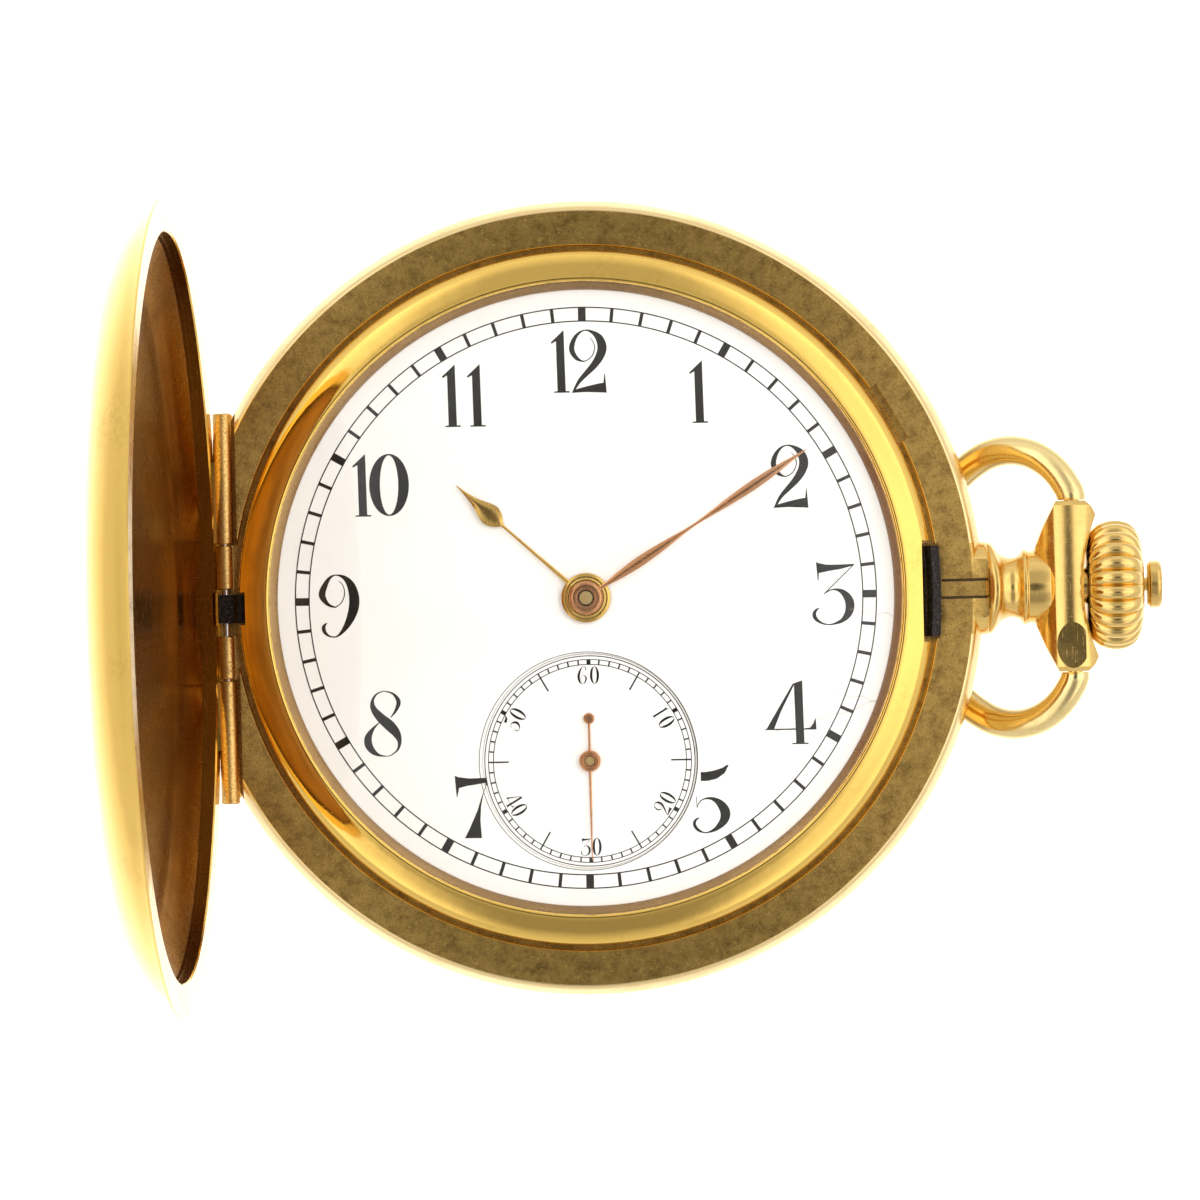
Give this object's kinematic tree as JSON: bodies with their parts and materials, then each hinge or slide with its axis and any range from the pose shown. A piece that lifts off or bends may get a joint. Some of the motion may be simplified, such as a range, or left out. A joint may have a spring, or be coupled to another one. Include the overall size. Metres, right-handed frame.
{
  "type": "hunter case pocket watch",
  "caption": "Gold hunter-case pocket watch with its spring lid open, white enamel dial, subsidiary seconds, pendant crown and bow, and a complete movement inside.",
  "frame": {"origin": "centre of the flat in the middle of the back cover, which is also the axis of the dial and of the minute hand", "axes": "+Z out of the dial, +X towards the crown at 3 o'clock, +Y towards 12 o'clock"},
  "size_m": [0.0685, 0.052, 0.0588],
  "materials": {
    "case_gold": "polished yellow gold",
    "rose_gold": "polished rose gold",
    "enamel": "white vitreous enamel",
    "crystal": "clear watch glass",
    "steel": "polished steel",
    "black_steel": "blackened spring steel",
    "gilt_brass": "frosted gilt brass",
    "ruby": "polished ruby",
    "blued_steel": "blued spring steel"
  },
  "bodies": {
    "case": {"case_band": "case_gold", "pendant": "case_gold", "pendant_sleeve": "steel", "bezel": "case_gold", "crystal": "crystal", "lid_hinge_pin": "steel", "back_hinge_pin": "steel", "lift_spring": "black_steel", "case_screws": "steel", "bow_screws": "case_gold", "dial": "enamel", "seconds_dial": "enamel", "mainplate": "gilt_brass", "barrel_bridge": "gilt_brass", "train_bridge": "gilt_brass", "balance_cock": "gilt_brass", "pallet_cock": "gilt_brass", "bridge_screws": "steel", "jewels": "ruby", "crown_wheel_core": "steel", "click_spring": "steel", "motion_studs": "steel"},
    "lid": {"front_lid": "case_gold"},
    "back": {"back_cover": "case_gold"},
    "cuvette": {"dust_cover": "case_gold"},
    "bow": {"bow": "case_gold"},
    "winding": {"winding_pinion": "steel"},
    "clutch": {"sliding_pinion": "steel"},
    "crown_stem": {"crown": "case_gold", "stem": "steel"},
    "button": {"push_button": "case_gold"},
    "lock": {"lock_spring": "black_steel"},
    "lever": {"setting_lever": "steel"},
    "yoke": {"yoke": "steel"},
    "crown_wheel": {"crown_wheel": "steel"},
    "ratchet": {"ratchet_wheel": "steel", "ratchet_screw": "steel", "barrel_arbor": "steel"},
    "click": {"click": "steel"},
    "barrel": {"barrel_drum": "gilt_brass", "barrel_cover": "gilt_brass", "mainspring": "steel"},
    "centre": {"centre_wheel": "gilt_brass", "cannon_pinion": "steel", "minute_hand": "rose_gold"},
    "third": {"third_wheel": "gilt_brass"},
    "fourth": {"fourth_wheel": "gilt_brass", "seconds_hand": "rose_gold"},
    "escape": {"escape_wheel": "steel"},
    "fork": {"pallet_fork": "steel"},
    "balance": {"balance_wheel": "gilt_brass", "balance_staff": "steel", "hairspring": "blued_steel"},
    "regulator": {"regulator": "steel"},
    "minute": {"minute_wheel": "gilt_brass"},
    "setting": {"setting_wheel": "gilt_brass"},
    "hour": {"hour_wheel": "gilt_brass", "hour_hand": "case_gold"}
  },
  "joints": [
    {"name": "lid_hinge", "type": "hinge", "parent": "case", "child": "lid", "pos_m": [-0.0235, 0, 0.0082], "axis": [0, -1, 0], "range_deg": [-93.8, 0], "stiffness_Nm_per_rad": 0.006},
    {"name": "back_hinge", "type": "hinge", "parent": "case", "child": "back", "pos_m": [-0.0235, 0, 0.004], "axis": [0, 1, 0], "range_deg": [0, 112]},
    {"name": "cuvette_hinge", "type": "hinge", "parent": "case", "child": "cuvette", "pos_m": [-0.0235, 0, 0.004], "axis": [0, 1, 0], "range_deg": [0, 89.6]},
    {"name": "bow_swing", "type": "hinge", "parent": "case", "child": "bow", "pos_m": [0.0319, 0, 0.0064], "axis": [0, -1, 0], "range_deg": [0, 281]},
    {"name": "crown_turn", "type": "hinge", "parent": "case", "child": "winding", "pos_m": [0, 0, 0.0064], "axis": [1, 0, 0], "continuous": true},
    {"name": "crown_pull", "type": "slide", "parent": "winding", "child": "crown_stem", "axis": [1, 0, 0], "range_m": [0, 0.0009]},
    {"name": "clutch_slide", "type": "slide", "parent": "winding", "child": "clutch", "axis": [-1, 0, 0], "range_m": [0, 0.0008]},
    {"name": "button_push", "type": "slide", "parent": "crown_stem", "child": "button", "axis": [-1, 0, 0], "range_m": [0, 0.0006], "stiffness_N_per_m": 400},
    {"name": "lock_release", "type": "slide", "parent": "case", "child": "lock", "axis": [-1, 0, 0], "range_m": [0, 0.0003]},
    {"name": "lever_turn", "type": "hinge", "parent": "case", "child": "lever", "pos_m": [0.0197, 0.0036, 0.007], "axis": [0, 0, 1], "range_deg": [0, 17.6]},
    {"name": "yoke_turn", "type": "hinge", "parent": "case", "child": "yoke", "pos_m": [0.012, -0.0045, 0.007], "axis": [0, 0, 1], "range_deg": [0, 10.7]},
    {"name": "crown_wheel_turn", "type": "hinge", "parent": "case", "child": "crown_wheel", "pos_m": [0.011, 0, 0.003], "axis": [0, 0, 1], "continuous": true},
    {"name": "ratchet_turn", "type": "hinge", "parent": "case", "child": "ratchet", "pos_m": [0.00452, 0.00645, 0.003], "axis": [0, 0, 1], "continuous": true},
    {"name": "click_lift", "type": "hinge", "parent": "case", "child": "click", "pos_m": [0.0139, 0.0089, 0.003], "axis": [0, 0, -1], "range_deg": [0, 6], "stiffness_Nm_per_rad": 0.0004},
    {"name": "seconds_turn", "type": "hinge", "parent": "case", "child": "fourth", "pos_m": [0, -0.01065, 0.005], "axis": [0, 0, -1], "continuous": true},
    {"name": "minutes_turn", "type": "hinge", "parent": "case", "child": "centre", "pos_m": [0, 0, 0.006], "axis": [0, 0, -1], "continuous": true},
    {"name": "hours_turn", "type": "hinge", "parent": "case", "child": "hour", "pos_m": [0, 0, 0.007], "axis": [0, 0, -1], "continuous": true},
    {"name": "barrel_turn", "type": "hinge", "parent": "case", "child": "barrel", "pos_m": [0.00452, 0.00645, 0.005], "axis": [0, 0, -1], "continuous": true},
    {"name": "third_turn", "type": "hinge", "parent": "case", "child": "third", "pos_m": [-0.0042, -0.00585, 0.005], "axis": [0, 0, -1], "continuous": true},
    {"name": "escape_turn", "type": "hinge", "parent": "case", "child": "escape", "pos_m": [0.00537, -0.00869, 0.005], "axis": [0, 0, -1], "continuous": true},
    {"name": "minute_wheel_turn", "type": "hinge", "parent": "case", "child": "minute", "pos_m": [0, 0.00408, 0.007], "axis": [0, 0, -1], "continuous": true},
    {"name": "setting_wheel_turn", "type": "hinge", "parent": "case", "child": "setting", "pos_m": [0.00635, 0.00269, 0.007], "axis": [0, 0, -1], "continuous": true},
    {"name": "fork_rock", "type": "hinge", "parent": "case", "child": "fork", "pos_m": [0.0088, -0.00823, 0.005], "axis": [0, 0, 1], "range_deg": [-5, 5]},
    {"name": "balance_swing", "type": "hinge", "parent": "case", "child": "balance", "pos_m": [0.012, -0.0078, 0.004], "axis": [0, 0, 1], "range_deg": [-270, 270], "stiffness_Nm_per_rad": 0.0000006},
    {"name": "regulator_turn", "type": "hinge", "parent": "case", "child": "regulator", "pos_m": [0.012, -0.0078, 0.0024], "axis": [0, 0, 1], "range_deg": [-20, 20]}
  ],
  "couplings": [
    {"joint": "cuvette_hinge", "follows": "back_hinge", "ratio": 0.8},
    {"joint": "clutch_slide", "follows": "crown_pull", "ratio": 0.8889},
    {"joint": "lever_turn", "follows": "crown_pull", "rad_per_m": 340.89},
    {"joint": "yoke_turn", "follows": "crown_pull", "rad_per_m": 206.67},
    {"joint": "lock_release", "follows": "button_push", "ratio": 0.5},
    {"joint": "crown_wheel_turn", "follows": "crown_turn", "ratio": 0.7},
    {"joint": "ratchet_turn", "follows": "crown_turn", "ratio": -0.47963},
    {"joint": "minutes_turn", "follows": "seconds_turn", "ratio": 0.016667},
    {"joint": "hours_turn", "follows": "seconds_turn", "ratio": 0.0013889},
    {"joint": "barrel_turn", "follows": "seconds_turn", "ratio": -0.0020833},
    {"joint": "third_turn", "follows": "seconds_turn", "ratio": -0.13333},
    {"joint": "escape_turn", "follows": "seconds_turn", "ratio": -10},
    {"joint": "minute_wheel_turn", "follows": "seconds_turn", "ratio": -0.0055556},
    {"joint": "setting_wheel_turn", "follows": "seconds_turn", "ratio": 0.005}
  ]
}
